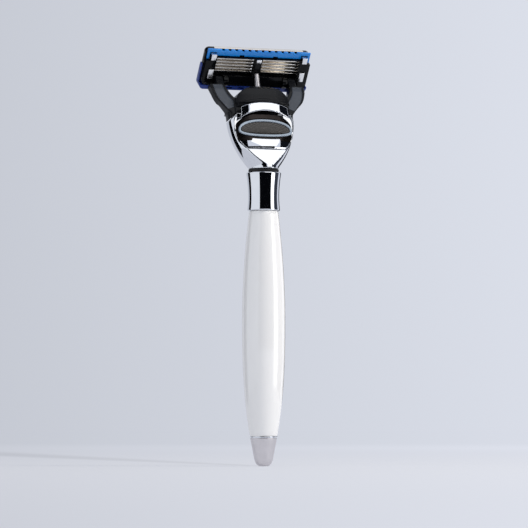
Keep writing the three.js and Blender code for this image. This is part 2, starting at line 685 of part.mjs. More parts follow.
function buildClips() {
  const back = frameBack - 0.65;
  const front = frameFront + 0.7;
  const foot = clipFoot;
  const top = clipTop;
  const t = clipThickness;
  const strap = polygon([
    [back, 4.7], [back, foot], [front, foot], [front, top], [back, top], [back, 8.4], [back + t, 8.4],
    [back + t, top - t], [front - t, top - t], [front - t, foot + t], [back + t, foot + t], [back + t, 4.7],
  ]);
  [[-clipAt, 'left'], [clipAt, 'right']].forEach(([x, word]) => {
    addPiece(cartridge, `clip_${word}`, barX(strap, x - clipWidth / 2, x + clipWidth / 2), looks.bladeSteel);
  });
}

function buildGuard() {
  const far = 30;
  const plateBack = barFront + gap;
  const outline = roundedFrame(guardHalfWidth, guardFoot, 6.4, 1.8);
  let guard = solid(plateY(outline, frameBack, plateBack + 0.7))
    .subtract(solid(box(-frameHalfWidth - gap, frameHalfWidth + gap, -far, plateBack, frameFoot - gap, far)))
    .subtract(solid(box(-frameHalfWidth - gap, frameHalfWidth + gap, -far, far, windowFoot - 0.5, far)))
    .subtract(solid(box(-far, far, -far, 1.6, frameFoot + 0.4, far)));
  [-clipAt, clipAt].forEach((x) => {
    const half = clipWidth / 2 + gap;
    guard = guard.subtract(solid(box(x - half, x + half, -far, far, 0.7, windowFoot)));
  });
  [-1, 1].forEach((side) => {
    const [notch0, notch1] = span(side, bossInner - gap, bossOuter + gap);
    guard = guard.subtract(solid(pinX(bossRadius + gap, notch0, notch1, 0, 0, 24)));
  });
  const slots = 7;
  const slotPitch = 4.6;
  for (let i = 0; i < slots; i += 1) {
    const x = (i - (slots - 1) / 2) * slotPitch;
    guard = guard.subtract(solid(box(x - 1.25, x + 1.25, -far, far, -3.2, -2.5)));
  }
  addPiece(cartridge, 'guard', guard, looks.guardBlue);

  const finBack = plateBack + 0.7 + 0.15;
  const foot = -1.9;
  const pitch = 0.55;
  const outlinePoints = [[finBack, foot], [finBack + 0.35, foot]];
  for (let i = 0; i < finCount; i += 1) {
    const z = foot + 0.15 + i * pitch;
    outlinePoints.push([finBack + 0.35, z], [finBack + 0.75, z + 0.12], [finBack + 0.35, z + 0.3]);
  }
  const top = foot + 0.15 + finCount * pitch;
  outlinePoints.push([finBack + 0.35, top], [finBack, top]);
  const finHalf = windowOuter - gap;
  addPiece(cartridge, 'guard_fins', barX(polygon(outlinePoints), -finHalf, finHalf), looks.guardBlue);
}

function buildBlades() {
  const along = new THREE.Vector2(Math.sin(bladeLean), -Math.cos(bladeLean));
  const out = new THREE.Vector2(Math.cos(bladeLean), Math.sin(bladeLean));
  const at = (origin, a, b) => {
    const p = origin.clone().addScaledVector(along, a).addScaledVector(out, b);
    return [p.x, p.y];
  };
  const sheet = 0.2;
  const half = bladeLength / 2;
  for (let i = 0; i < bladeCount; i += 1) {
    const z = firstBlade + i * bladePitch;
    const bend = new THREE.Vector2(2.9, z + sheet);
    const legFoot = 1.5;
    const rest = 1.05;
    const support = polygon([
      [legFoot, z], [2.8, z], at(bend, rest, 0), at(bend, rest, sheet), at(bend, 0, sheet),
      [legFoot, z + sheet],
    ]);
    const seat = sheet + 0.08;
    const blade = polygon([
      at(bend, 0.15, seat), at(bend, 1.25, seat), at(bend, 1.5, seat + 0.09), at(bend, 0.15, seat + 0.1),
    ]);
    const windowSpan = windowOuter - gap;
    let bracket = solid(barX(support, -half, half));
    bracket = bracket.subtract(solid(box(-windowInner - gap, windowInner + gap, 0, 2.1, z - 1, z + 1)))
      .subtract(solid(box(-half - 1, -windowSpan, 0, 2.1, z - 1, z + 1)))
      .subtract(solid(box(windowSpan, half + 1, 0, 2.1, z - 1, z + 1)));
    addPiece(cartridge, `blade_support_${i + 1}`, bracket, looks.bladeSteel);
    addPiece(cartridge, `blade_${i + 1}`, barX(blade, -half, half), looks.bladeSteel);
  }
}

function buildCapAndTrimmer() {
  const stripFoot = frameStep + gap;
  const stripTop = frameTop + 0.5;
  const stripFront = stepBack - gap;
  const stripBack = stripFront - 0.8;
  const half = frameHalfWidth - 0.4;
  const stripHalf = windowOuter - 0.7;
  const trayFoot = frameStep + 0.25;
  const trayTop = frameTop - 0.45;
  addPiece(cartridge, 'lube_strip', barX(polygon([
    [3.25, trayFoot], [3.9, trayFoot], [4.15, trayFoot + 0.4], [4.15, trayTop - 0.4], [3.9, trayTop],
    [3.25, trayTop],
  ]), -stripHalf, stripHalf), looks.lubeStrip);

  let strip = solid(box(-half, half, stripBack, stripFront, stripFoot, stripTop));
  [-1, 1].forEach((side) => {
    const [leg0, leg1] = span(side, clipAt + clipWidth / 2 + gap, half);
    const [clip0, clip1] = span(side, clipAt - clipWidth / 2 - gap, clipAt + clipWidth / 2 + gap);
    const [notch0, notch1] = span(side, 5.6, 7.4);
    strip = strip.add(solid(box(leg0, leg1, stripBack, stripFront, stripLegFoot, stripFoot + 1)))
      .subtract(solid(box(clip0, clip1, -5, 5, stripFoot - 1, clipTop + gap)))
      .subtract(solid(box(notch0, notch1, -5, 5, stripFoot - 1, stripFoot + 0.5)));
  });
  const teeth = 12;
  const toothPitch = 2.55;
  for (let i = 0; i < teeth; i += 1) {
    const x = (i - (teeth - 1) / 2) * toothPitch;
    strip = strip.subtract(solid(box(x - 0.5, x + 0.5, -5, 5, stripTop - 0.6, stripTop + 1)));
  }
  addPiece(cartridge, 'trimmer_guard', strip, looks.trimmerBlue);
  const edge = stripFront + gap;
  const bladeFoot = frameTop + gap;
  addPiece(cartridge, 'trimmer_blade', barX(polygon([
    [edge, bladeFoot + 0.12], [edge + 0.3, bladeFoot], [3.3, bladeFoot], [3.3, bladeFoot + 0.15],
    [edge, bladeFoot + 0.15],
  ]), -bladeLength / 2 + 1.3, bladeLength / 2 - 1.3), looks.bladeSteel);
  const staple = solid(box(-0.95, 0.95, frameBack - 0.65, frameBack - 0.25, 7.9, 9.3))
    .add(solid(box(-0.25, 0.25, frameBack - 0.4, frameBack + 0.7, 8.55, 8.85)));
  addPiece(cartridge, 'centre_staple', staple, looks.bladeSteel);
}

buildHandle();
buildNeck();
buildButton();
buildMechanism();
buildYoke();
buildFrame();
buildClips();
buildGuard();
buildBlades();
buildCapAndTrimmer();

export default root;
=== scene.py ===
import math

import bpy
from mathutils import Matrix, Vector


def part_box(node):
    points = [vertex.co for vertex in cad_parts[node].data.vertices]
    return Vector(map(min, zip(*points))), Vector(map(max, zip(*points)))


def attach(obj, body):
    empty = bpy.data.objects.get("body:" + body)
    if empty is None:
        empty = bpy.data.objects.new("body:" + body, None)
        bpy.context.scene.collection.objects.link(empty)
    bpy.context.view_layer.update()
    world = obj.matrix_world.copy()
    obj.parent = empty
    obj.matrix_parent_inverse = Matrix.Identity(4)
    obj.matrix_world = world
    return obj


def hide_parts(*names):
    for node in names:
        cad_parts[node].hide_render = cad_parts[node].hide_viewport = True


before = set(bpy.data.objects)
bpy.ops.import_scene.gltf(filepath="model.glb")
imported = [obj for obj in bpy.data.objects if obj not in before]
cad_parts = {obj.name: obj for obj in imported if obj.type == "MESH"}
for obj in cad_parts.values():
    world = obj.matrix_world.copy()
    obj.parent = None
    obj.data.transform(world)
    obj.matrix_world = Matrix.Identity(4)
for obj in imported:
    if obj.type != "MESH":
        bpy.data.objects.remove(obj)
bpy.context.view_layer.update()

mm = 0.001  # everything below is given in millimetres and made in metres

# The head leans forward from the neck's foot, and the cartridge turns on the yoke's pins
headLean = math.radians(12)
cartridgeTilt = math.radians(35)
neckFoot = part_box("neck_shell")[0].z
headPlace = Matrix.Translation((0, 0, neckFoot)) @ Matrix.Rotation(-headLean, 4, "X")
pivotPlace = headPlace @ Matrix.Translation((0, 2.9 * mm, 34 * mm))
cartridgePlace = pivotPlace @ Matrix.Rotation(headLean + cartridgeTilt, 4, "X")


# ---- small helpers for modelling ----

def clearSelection():
    if bpy.context.mode != "OBJECT":
        bpy.ops.object.mode_set(mode="OBJECT")
    bpy.ops.object.select_all(action="DESELECT")


def activate(piece):
    clearSelection()
    piece.select_set(True)
    bpy.context.view_layer.objects.active = piece


def editAll(piece):
    activate(piece)
    bpy.ops.object.mode_set(mode="EDIT")
    bpy.ops.mesh.select_all(action="SELECT")


def objectMode():
    bpy.ops.object.mode_set(mode="OBJECT")


def settle(piece, place=None):
    # the place goes into the mesh, and the object stays at the origin
    if place is not None:
        piece.matrix_world = place @ piece.matrix_world
    activate(piece)
    bpy.ops.object.transform_apply(location=True, rotation=True, scale=True)


def modify(piece, kind, **settings):
    activate(piece)
    modifier = piece.modifiers.new(kind.lower(), kind)
    for key, value in settings.items():
        setattr(modifier, key, value)
    bpy.ops.object.modifier_apply(modifier=modifier.name)


def soften(piece, width, segments=2, angle=32):
    modify(piece, "BEVEL", width=width * mm, segments=segments, limit_method="ANGLE",
           angle_limit=math.radians(angle), use_clamp_overlap=True, harden_normals=False)


def shade(piece, angle=32):
    activate(piece)
    bpy.ops.object.shade_smooth_by_angle(angle=math.radians(angle))


def combine(piece, other, operation):
    modify(piece, "BOOLEAN", object=other, operation=operation, solver="EXACT")
    bpy.data.objects.remove(other, do_unlink=True)


def cut(piece, other):
    combine(piece, other, "DIFFERENCE")


def blockOf(x0, x1, y0, y1, z0, z1):
    # a block between two corners, in millimetres
    clearSelection()
    middle = Vector(((x0 + x1) / 2, (y0 + y1) / 2, (z0 + z1) / 2)) * mm
    size = Vector((x1 - x0, y1 - y0, z1 - z0)) * mm
    bpy.ops.mesh.primitive_cube_add(size=1, location=middle, scale=size)
    block = bpy.context.object
    settle(block)
    return block


def pinOf(radius, start, end, sides=24):
    # a round pin between two points, in millimetres
    clearSelection()
    first, last = Vector(start) * mm, Vector(end) * mm
    turn = (last - first).to_track_quat("Z", "Y").to_euler()
    bpy.ops.mesh.primitive_cylinder_add(vertices=sides, radius=radius * mm, depth=(last - first).length,
                                        location=(first + last) / 2, rotation=turn)
    pin = bpy.context.object
    settle(pin)
    return pin


def flatFace(outline, axis, at):
    # a flat many-sided face, drawn in the plane across the axis
    clearSelection()
    bpy.ops.mesh.primitive_circle_add(vertices=len(outline), radius=mm, fill_type="NGON")
    face = bpy.context.object
    for vertex, (a, b) in zip(face.data.vertices, outline):
        vertex.co = Vector((a, at, b) if axis == "Y" else (at, a, b)) * mm
    return face


def pullOut(pull):
    # what is selected is drawn out into a solid whose faces point outwards
    bpy.ops.mesh.extrude_region_move(TRANSFORM_OT_translate={"value": pull})
    bpy.ops.mesh.select_all(action="SELECT")
    bpy.ops.mesh.normals_make_consistent(inside=False)
    objectMode()


def plateOf(outline, axis, near, far):
    # a flat plate between two places on the axis
    plate = flatFace(outline, axis, near)
    editAll(plate)
    pullOut((0, (far - near) * mm, 0) if axis == "Y" else ((far - near) * mm, 0, 0))
    return plate


def turnedOf(name, outline, sides=96, closed=True):
    # rings pulled up from a circle, each one scaled to its radius;
    # a closed outline ends where it starts, and an open one has its two ends filled
    clearSelection()
    radius, height = outline[0]
    bpy.ops.mesh.primitive_circle_add(vertices=sides, radius=radius * mm, location=(0, 0, height * mm))
    piece = bpy.context.object
    piece.name = name
    settle(piece)
    editAll(piece)
    for nextRadius, nextHeight in outline[1:]:
        bpy.ops.mesh.extrude_region_move(
            TRANSFORM_OT_translate={"value": (0, 0, (nextHeight - height) * mm)})
        share = nextRadius / radius
        bpy.ops.transform.resize(value=(share, share, 1), center_override=(0, 0, nextHeight * mm))
        radius, height = nextRadius, nextHeight
    bpy.ops.mesh.select_all(action="SELECT")
    bpy.ops.mesh.remove_doubles(threshold=0.0005 * mm)
    if not closed:
        bpy.ops.mesh.fill_holes(sides=0)
        bpy.ops.mesh.select_all(action="SELECT")
    bpy.ops.mesh.normals_make_consistent(inside=False)
    objectMode()
    return piece


def copyOf(node, name):
    # a merged copy of a CAD node, with its flat faces made whole again
    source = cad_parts[node]
    piece = bpy.data.objects.new(name, source.data.copy())
    bpy.context.scene.collection.objects.link(piece)
    piece.data.materials.clear()
    editAll(piece)
    bpy.ops.mesh.remove_doubles(threshold=0.001 * mm)
    bpy.ops.mesh.dissolve_limited(angle_limit=math.radians(0.6))
    objectMode()
    return piece


def finishPiece(piece, name, body, nodes, material):
    # the piece gets its name and its material, rides on its body, and the CAD nodes it stands for are hidden
    piece.name = name
    piece.data.name = name
    piece.data.materials.clear()
    piece.data.materials.append(material)
    clearSelection()
    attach(piece, body)
    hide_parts(*nodes)


# ---- materials ----

def fromHex(code):
    # an sRGB hex value as linear colour
    parts = [int(code[i:i + 2], 16) / 255 for i in (1, 3, 5)]
    linear = [p / 12.92 if p <= 0.04045 else ((p + 0.055) / 1.055) ** 2.4 for p in parts]
    return (*linear, 1)


def addNode(tree, kind, inputs=None, **settings):
    node = tree.nodes.new(kind)
    for key, value in settings.items():
        setattr(node, key, value)
    for key, value in (inputs or {}).items():
        if isinstance(value, bpy.types.NodeSocket):
            tree.links.new(value, node.inputs[key])
        else:
            node.inputs[key].default_value = value
    return node


def emptyTree(owner):
    # the node tree of a material or of the world, with nothing in it
    owner.use_nodes = True
    owner.node_tree.nodes.clear()
    return owner.node_tree


def startMaterial(name, **sockets):
    material = bpy.data.materials.new(name)
    tree = emptyTree(material)
    shader = addNode(tree, "ShaderNodeBsdfPrincipled")
    for key, value in sockets.items():
        shader.inputs[key.replace("_", " ")].default_value = value
    addNode(tree, "ShaderNodeOutputMaterial", {"Surface": shader.outputs[0]})
    where = addNode(tree, "ShaderNodeTexCoord").outputs["Object"]
    return material, tree, shader, where


def stretched(tree, where, scale, turn=(0, 0, 0), shift=(0, 0, 0)):
    # object coordinates turned and stretched, so that noise becomes lines
    return addNode(tree, "ShaderNodeMapping", {"Vector": where, "Scale": scale, "Rotation": turn,
                                               "Location": shift}).outputs[0]


def noiseOf(tree, where, sizeMm, detail=3, rough=0.5):
    # noise whose patches are about this many millimetres wide
    return addNode(tree, "ShaderNodeTexNoise", {"Vector": where, "Scale": 1 / (sizeMm * mm), "Detail": detail,
                                                "Roughness": rough}).outputs[0]


def spread(tree, value, low, high, fromLow=0.3, fromHigh=0.7):
    # noise keeps near its middle, so that part of it is drawn out to the whole range
    return addNode(tree, "ShaderNodeMapRange", {"Value": value, "From Min": fromLow, "From Max": fromHigh,
                                                "To Min": low, "To Max": high}).outputs[0]


def blendColours(tree, share, first, second):
    ramp = addNode(tree, "ShaderNodeValToRGB", {"Fac": share})
    ramp.color_ramp.elements[0].color = fromHex(first)
    ramp.color_ramp.elements[1].color = fromHex(second)
    return ramp.outputs[0]


def raiseSurface(tree, shader, height, distanceMm):
    bump = addNode(tree, "ShaderNodeBump", {"Height": height, "Distance": distanceMm * mm, "Strength": 1.0})
    tree.links.new(bump.outputs[0], shader.inputs["Normal"])


def metalFinish(name, dark, light, roughLow, roughHigh, lineMm, lineStretch, bumpMm, turn=(0, 0, 0)):
    # lines run along the local axis whose stretch is smallest
    material, tree, shader, where = startMaterial(name, Metallic=1.0)
    lines = noiseOf(tree, stretched(tree, where, lineStretch, turn), lineMm)
    clouds = noiseOf(tree, where, 4)
    tree.links.new(blendColours(tree, clouds, dark, light), shader.inputs["Base Color"])
    tree.links.new(spread(tree, lines, roughLow, roughHigh), shader.inputs["Roughness"])
    if bumpMm:
        raiseSurface(tree, shader, lines, bumpMm)
    return material


def plasticFinish(name, dark, light, roughLow, roughHigh, grainMm, bumpMm, coat=0.0, level=0.5):
    material, tree, shader, where = startMaterial(name, IOR=1.49, Coat_Weight=coat, Specular_IOR_Level=level)
    grain = noiseOf(tree, where, grainMm, 2)
    clouds = noiseOf(tree, where, 6, 3)
    tree.links.new(blendColours(tree, clouds, dark, light), shader.inputs["Base Color"])
    tree.links.new(spread(tree, grain, roughLow, roughHigh), shader.inputs["Roughness"])
    if bumpMm:
        raiseSurface(tree, shader, grain, bumpMm)
    return material


def turnedNickel():
    # Nickel, turned and then brushed round the tip: soft grey with fine rings that spread the highlight
    material, tree, shader, where = startMaterial("nickelTurnedSatin", Metallic=1.0, Anisotropic=0.3)
    rings = noiseOf(tree, stretched(tree, where, (0.05, 0.05, 1)), 0.25, 4, 0.6)
    clouds = noiseOf(tree, where, 3)
    tree.links.new(blendColours(tree, clouds, "#D6D2D4", "#E4E0E2"), shader.inputs["Base Color"])
    tree.links.new(spread(tree, rings, 0.34, 0.46), shader.inputs["Roughness"])
    raiseSurface(tree, shader, rings, 0.006)
    return material


def inlayLacquerPaintedReflection():
    # Dark lacquered disc under a hard gloss, with faint brown-grey arcs: painted reflection of a dished
    # face's swirly highlights on a flat disc, also used as a slight bump
    material, tree, shader, where = startMaterial("lacquerDarkPaintedReflection", Coat_Weight=0.6, Coat_Roughness=0.05,
                                                  IOR=1.5)
    centre = headPlace @ Vector((0, -4.8 * mm, 13.4 * mm))  # the middle of the disc's face
    flat = stretched(tree, where, (1, 1, 1), (headLean, 0, 0), tuple(-c for c in centre))
    # painted reflection: distorted rings, brown-grey on the dark disc, stand for the swirly highlights of a
    # dished face
    paintedReflectionRings = addNode(tree, "ShaderNodeTexWave", {
        "Vector": stretched(tree, flat, (0.55, 0.55, 1.6)), "Scale": 1 / (2.4 * mm), "Distortion": 5.0,
        "Detail": 3.0, "Detail Scale": 1.6}, wave_type="RINGS", rings_direction="Y").outputs[0]
    fine = noiseOf(tree, stretched(tree, where, (0.2, 1, 1)), 0.2, 3)
    paintedReflectionMix = addNode(tree, "ShaderNodeMath", {0: paintedReflectionRings, 1: fine}, operation="MULTIPLY").outputs[0]
    tree.links.new(blendColours(tree, spread(tree, paintedReflectionMix, 0, 1, 0.15, 0.8), "#171616", "#56504D"),
                   shader.inputs["Base Color"])
    shader.inputs["Metallic"].default_value = 0.6
    tree.links.new(spread(tree, fine, 0.22, 0.36), shader.inputs["Roughness"])
    raiseSurface(tree, shader, paintedReflectionRings, 0.01)
    return material


def castResin():
    # Cast polyester resin, buffed: clean white with a barely cloudy body and a wet gloss
    material, tree, shader, where = startMaterial("resinCastWhite", IOR=1.55, Coat_Weight=0.5,
                                                  Coat_Roughness=0.03)
    clouds = noiseOf(tree, stretched(tree, where, (1, 1, 0.35)), 9, 4)
    wear = noiseOf(tree, where, 0.6, 2)
    tree.links.new(blendColours(tree, clouds, "#F6F4F0", "#FCFBF8"), shader.inputs["Base Color"])
    tree.links.new(spread(tree, wear, 0.07, 0.13), shader.inputs["Roughness"])
    return material


def lubricatingStrip():
    # Water-soluble polymer strip, extruded: chalky blue-green with fine lengthwise ribs
    material, tree, shader, where = startMaterial("polymerStripExtruded", IOR=1.46)
    ribs = addNode(tree, "ShaderNodeTexWave", {"Vector": stretched(tree, where, (0, 0.7, 1)),
                                               "Scale": 1 / (0.9 * mm), "Distortion": 0.4},
                   bands_direction="Z").outputs[0]
    grain = noiseOf(tree, where, 0.25, 3)
    tree.links.new(blendColours(tree, grain, "#BFD2D8", "#D9E6E6"), shader.inputs["Base Color"])
    tree.links.new(spread(tree, grain, 0.5, 0.7), shader.inputs["Roughness"])
    raiseSurface(tree, shader, ribs, 0.03)
    return material


finishes = {
    "nickel": turnedNickel(),
    # Zinc die casting, buffed and chrome plated: a clean mirror with the faintest haze
    "chrome": metalFinish("chromeBuffedPlate", "#DFE2E8", "#EEF0F4", 0.02, 0.045, 1.5, (1, 1, 1), 0),
    # Nickel-plated ring, blasted: even light grey that lifts off the mirror round it
    "ring": metalFinish("nickelBlastedRing", "#8E99A6", "#A4AFBB", 0.22, 0.34, 0.2, (1, 1, 1), 0.004),
    "inlay": inlayLacquerPaintedReflection(),
    "resin": castResin(),
    # Brass bar, turned: warm with fine rings
    "brass": metalFinish("brassTurned", "#B9944A", "#CBA75E", 0.28, 0.4, 0.3, (0.1, 0.1, 1), 0.004),
    # Carbon steel, drawn: plain grey with lengthwise lines
    "steel": metalFinish("steelDrawn", "#8F9194", "#A9ABAE", 0.25, 0.38, 0.3, (1, 1, 0.1), 0.004),
    # Stainless strip, ground: bright with lines along the blades and a slight straw tint
    "blade": metalFinish("stainlessGroundStrip", "#D8D0C4", "#F8F5F0", 0.14, 0.26, 0.25, (0.05, 1, 1), 0.004),
    # Aluminium strap, tumbled: nearly white, soft at its edges
    "clip": metalFinish("aluminiumTumbledStrap", "#DADBDD", "#F2F2F2", 0.2, 0.32, 0.3, (1, 0.3, 0.3), 0.005),
    # Nitrile rubber, moulded: dull black
    "rubber": plasticFinish("nitrileMoulded", "#0E0E10", "#17171A", 0.55, 0.75, 0.3, 0.01),
    # Glass-filled nylon, moulded in a spark-eroded tool: charcoal with a fine even grain
    "nylon": plasticFinish("nylonErodedBlack", "#0C0D10", "#131519", 0.24, 0.34, 0.22, 0.006, level=0.2),
    # The arms' sunk panels: the same nylon, coarser grain, with a lighter colour that is painted light, so
    # that it looks lighter
    "paintedLightPanel": plasticFinish("nylonErodedPanelPaintedLight", "#30353D", "#424851", 0.32, 0.46, 0.3, 0.015),
    # ABS, moulded in a polished tool: deep black with a hard gloss
    "gloss": plasticFinish("absPolishedBlack", "#050507", "#0B0C0E", 0.1, 0.18, 1.2, 0, level=0.18),
    # ABS, moulded in clear blue: saturated, glossy and slightly uneven
    "blue": plasticFinish("absMouldedBlue", "#0070C4", "#0C8CE0", 0.16, 0.26, 0.6, 0.002, 0.2),
    # Soft rubber-like guard, moulded: navy, a little duller
    "navy": plasticFinish("elastomerMouldedNavy", "#152C6E", "#1E3D92", 0.28, 0.42, 0.3, 0.008),
    "strip": lubricatingStrip(),
    # Painted shade over brushed zinc, in the button's recess: near black with a faint grain
    "paintedShadeRecess": metalFinish("paintedShadeBrushed", "#1F1D1D", "#3A3534", 0.2, 0.34, 0.25, (0.1, 1, 1), 0.004),
}
print("materials made:", len(finishes))


# ---- handle ----

handle = {
    "rodHole": 1.75, "edge": 0.18, "tipFoot": 1.0, "noseRadius": 3.55, "noseHeight": 3.6, "noseRoll": 0.87,
    "tipRim": 4.82, "tipHeight": 10.1, "holeFloor": 3.1, "pinhole": 0.02,
    "ringFoot": 10.2, "ringTop": 10.7, "ringRadius": 4.98, "ringBevel": 0.12,
    "barrelFoot": 10.8, "barrelLength": 81, "footRadius": 4.97, "widestRadius": 7.8, "headRadius": 5.24,
    "widestAt": 0.52, "footCurve": 2.6, "headCurve": 1.85, "bore": 2.2, "bushDepth": 8.3, "bushPlay": 0.1,
    "barrelEdge": 0.25, "barrelSteps": 64, "barrelSides": 112,
}


def quadratic(start, control, end, steps):
    points = []
    for i in range(steps + 1):
        t = i / steps
        points.append(tuple((1 - t) ** 2 * a + 2 * t * (1 - t) * b + t * t * c
                            for a, b, c in zip(start, control, end)))
    return points


def washerOutline(radius, foot, top, bevelIn, bevelUp):
    # a flat ring round the rod, with both its outer edges cut back
    hole = handle["rodHole"]
    return [(hole, foot), (radius - bevelIn, foot), (radius, foot + bevelUp), (radius, top - bevelUp),
            (radius - bevelIn, top), (hole, top), (hole, foot)]


def makeTip():
    h = handle
    nose = quadratic((h["tipFoot"], 0.0), (h["noseRadius"] * h["noseRoll"], 0.0),
                     (h["noseRadius"], h["noseHeight"]), 18)
    side = quadratic(nose[-1], ((h["noseRadius"] + h["tipRim"]) / 2, (h["noseHeight"] + h["tipHeight"]) / 2),
                     (h["tipRim"], h["tipHeight"]), 8)
    # the rod's hole is blind: below its floor the outline keeps just off the axis
    outline = [(h["rodHole"], h["holeFloor"]), (h["pinhole"], h["holeFloor"]), (h["pinhole"], 0.0), *nose,
               *side[1:], (h["rodHole"], h["tipHeight"]), (h["rodHole"], h["holeFloor"])]
    tip = turnedOf("tip", outline)
    soften(tip, h["edge"], 3, 60)
    shade(tip, 50)
    finishPiece(tip, "tip_shell", "handle", ["tip_cap"], finishes["nickel"])
    outline = washerOutline(h["ringRadius"], h["ringFoot"], h["ringTop"], h["ringBevel"], h["ringBevel"])
    ring = turnedOf("tipRing", outline)
    shade(ring, 50)
    finishPiece(ring, "tip_bevel_ring", "handle", ["tip_ring"], finishes["chrome"])


def makeBarrel():
    h = handle
    foot, length, steps = h["barrelFoot"], h["barrelLength"], h["barrelSteps"]
    top = foot + length
    widest = foot + length * h["widestAt"]
    skin = []
    for i in range(steps + 1):
        z = foot + length * i / steps
        low, high = (widest - z) / (widest - foot), (z - widest) / (top - widest)
        swell = (h["widestRadius"] - h["footRadius"]) * max(low, 0) ** h["footCurve"]
        narrow = (h["widestRadius"] - h["headRadius"]) * max(high, 0) ** h["headCurve"]
        skin.append((h["widestRadius"] - (swell if z < widest else narrow), z))
    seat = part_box("upper_bush")[1].x / mm + h["bushPlay"]
    seatFoot, seatTop = foot + h["bushDepth"], top - h["bushDepth"]
    outline = [(seat, foot), *skin, (seat, top), (seat, seatTop), (h["bore"], seatTop), (h["bore"], seatFoot),
               (seat, seatFoot), (seat, foot)]
    barrel = turnedOf("barrel", outline, h["barrelSides"])
    soften(barrel, h["barrelEdge"], 3, 50)
    shade(barrel, 40)
    finishPiece(barrel, "resin_grip", "handle", ["resin_barrel"], finishes["resin"])


collar = {
    "footRim": ((5.62, 0), (5.84, 0.05), (5.87, 0.5)),  # radius, and height above the collar's foot
    "topRim": ((6.3, 0.4), (6.28, 0.05), (5.95, 0)),  # radius, and depth below the collar's top
    "waist": 5.155, "waistAt": 0.45, "sides": 128, "sealRadius": 5.48, "sealBevel": (0.18, 0.2),
}


def makeCollar():
    hole = handle["rodHole"]
    low, high = (corner.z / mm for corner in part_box("collar"))
    footRim = [(radius, low + rise) for radius, rise in collar["footRim"]]
    topRim = [(radius, high - drop) for radius, drop in collar["topRim"]]
    middle = (collar["waist"], low + (high - low) * collar["waistAt"])
    waist = quadratic(footRim[-1], middle, topRim[0], 28)
    outline = [(hole, low), *quadratic(*footRim, 5)[:-1], *waist, *quadratic(*topRim, 5)[1:], (hole, high),
               (hole, low)]
    waisted = turnedOf("collar", outline, collar["sides"])
    shade(waisted, 45)
    finishPiece(waisted, "waisted_collar", "handle", ["collar"], finishes["chrome"])
    low, high = (corner.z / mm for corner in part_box("collar_seal"))
    seal = turnedOf("seal", washerOutline(collar["sealRadius"], low, high, *collar["sealBevel"]))
    shade(seal, 50)
    finishPiece(seal, "seal_washer", "handle", ["collar_seal"], finishes["rubber"])


makeTip()
makeBarrel()
makeCollar()
print("handle made")


# ---- neck ----

# everything on the head is drawn upright from the neck's foot, with its back towards -y, and then leant over
neck = {
    "footRadius": 5.2, "halfWidth": 12.5, "height": 20, "flare": 2.2, "backDepth": 7, "frontDepth": 5.6,
    "footBack": 6.4, "footFront": 4.6, "backSquare": 2.2, "backEase": 1.9, "frontSquare": 1.2,
    "facetSlope": 0.2, "crease": 6, "hoodHeight": 3.1, "hoodHalfWidth": 10.6, "hoodThickness": 1.7,
    "openingHalfWidth": 11.4, "openingWidest": 14, "openingTop": 20, "openingFoot": 7.5, "footCorner": 3.5,
    "travel": 2.4, "skirtInner": 9.6, "skirtDrop": 2.6, "gap": 0.3, "step": 0.008, "studTop": 5.3,
    "coreRoom": (-5.8, 5.8, -3.0, 2.2, 14.3), "ejectorRoom": (-5.8, 5.8, -3.3, 4.1, 5.9),
    "voxel": 0.19, "sides": 160, "levels": 56,
}
plateIn = -3.3  # the button's plate lies between these two depths
plateOut = -4.8
creaseY = -neck["footBack"] + neck["facetSlope"] * neck["crease"]
hoodTop = neck["height"] + neck["hoodHeight"]


def neckSection(z):
    # half width, depth to the back and to the front, and how square each half is: 2 is an ellipse
    n = neck
    share = min(max(z / n["height"], 0), 1)
    t = 1 - (1 - share) ** n["flare"]
    halfWidth = n["footRadius"] + (n["halfWidth"] - n["footRadius"]) * t
    back = n["footBack"] + (n["backDepth"] - n["footBack"]) * min(share * 3, 1)  # full a third of the way up
    front = n["footFront"] + (n["frontDepth"] - n["footFront"]) * share
    return halfWidth, back, front, 2 + t * (n["backSquare"] - n["backEase"] * share), 2 + n["frontSquare"] * t


def neckBlank():
    # a round bar whose rings are then drawn out to the neck's sections
    low, high, levels = -2.5, hoodTop + 1, neck["levels"]
    rings = [(5.0, low + (high - low) * i / levels) for i in range(levels + 1)]
    blank = turnedOf("neckBlank", rings, neck["sides"], closed=False)
    for vertex in blank.data.vertices:
        x, y, z = vertex.co / mm
        halfWidth, back, front, backPower, frontPower = neckSection(z)
        depth, power = (back, backPower) if y < 0 else (front, frontPower)
        angle = math.atan2(y / depth, x / halfWidth)
        c, s = abs(math.cos(angle)), abs(math.sin(angle))
        reach = (c ** power + s ** power) ** (-1 / power)
        vertex.co = Vector((halfWidth * reach * math.cos(angle), depth * reach * math.sin(angle), z)) * mm
    return blank


def arc(cx, cz, rx, rz, start, end, steps):
    return [(cx + rx * math.cos(math.radians(start + (end - start) * i / steps)),
             cz + rz * math.sin(math.radians(start + (end - start) * i / steps))) for i in range(steps + 1)]


def openingOutline(inset, lift):
    # the thumb opening, smaller by the inset all round and with its top arc lifted
    n = neck
    half, foot, footHalf = n["openingHalfWidth"] - inset, n["crease"] + inset, n["openingFoot"] - inset
    right = quadratic((footHalf, foot), (half, foot + n["footCorner"]), (half, n["openingWidest"]), 14)
    rise = n["openingTop"] - n["openingWidest"] - inset
    top = arc(0, n["openingWidest"] + lift, half, rise, 0, 180, 48)
    left = [(-x, z) for x, z in reversed(right)]
    return [*right, *(top if lift else top[1:]), *(left if lift else left[1:])]


def rimHeight(x):
    # the neck's upper edge drops towards its sides
    n = neck
    share = (x - n["skirtInner"]) / (n["halfWidth"] - n["skirtInner"])
    return n["height"] - n["skirtDrop"] * max(share, 0)


def remeshed(piece, voxel, passes):
    # an even skin of small squares, smoothed so that every edge is rounded as on a cast piece
    modify(piece, "REMESH", mode="VOXEL", voxel_size=voxel * mm)
    modify(piece, "SMOOTH", factor=0.5, iterations=passes)
    activate(piece)
    bpy.ops.object.shade_smooth()


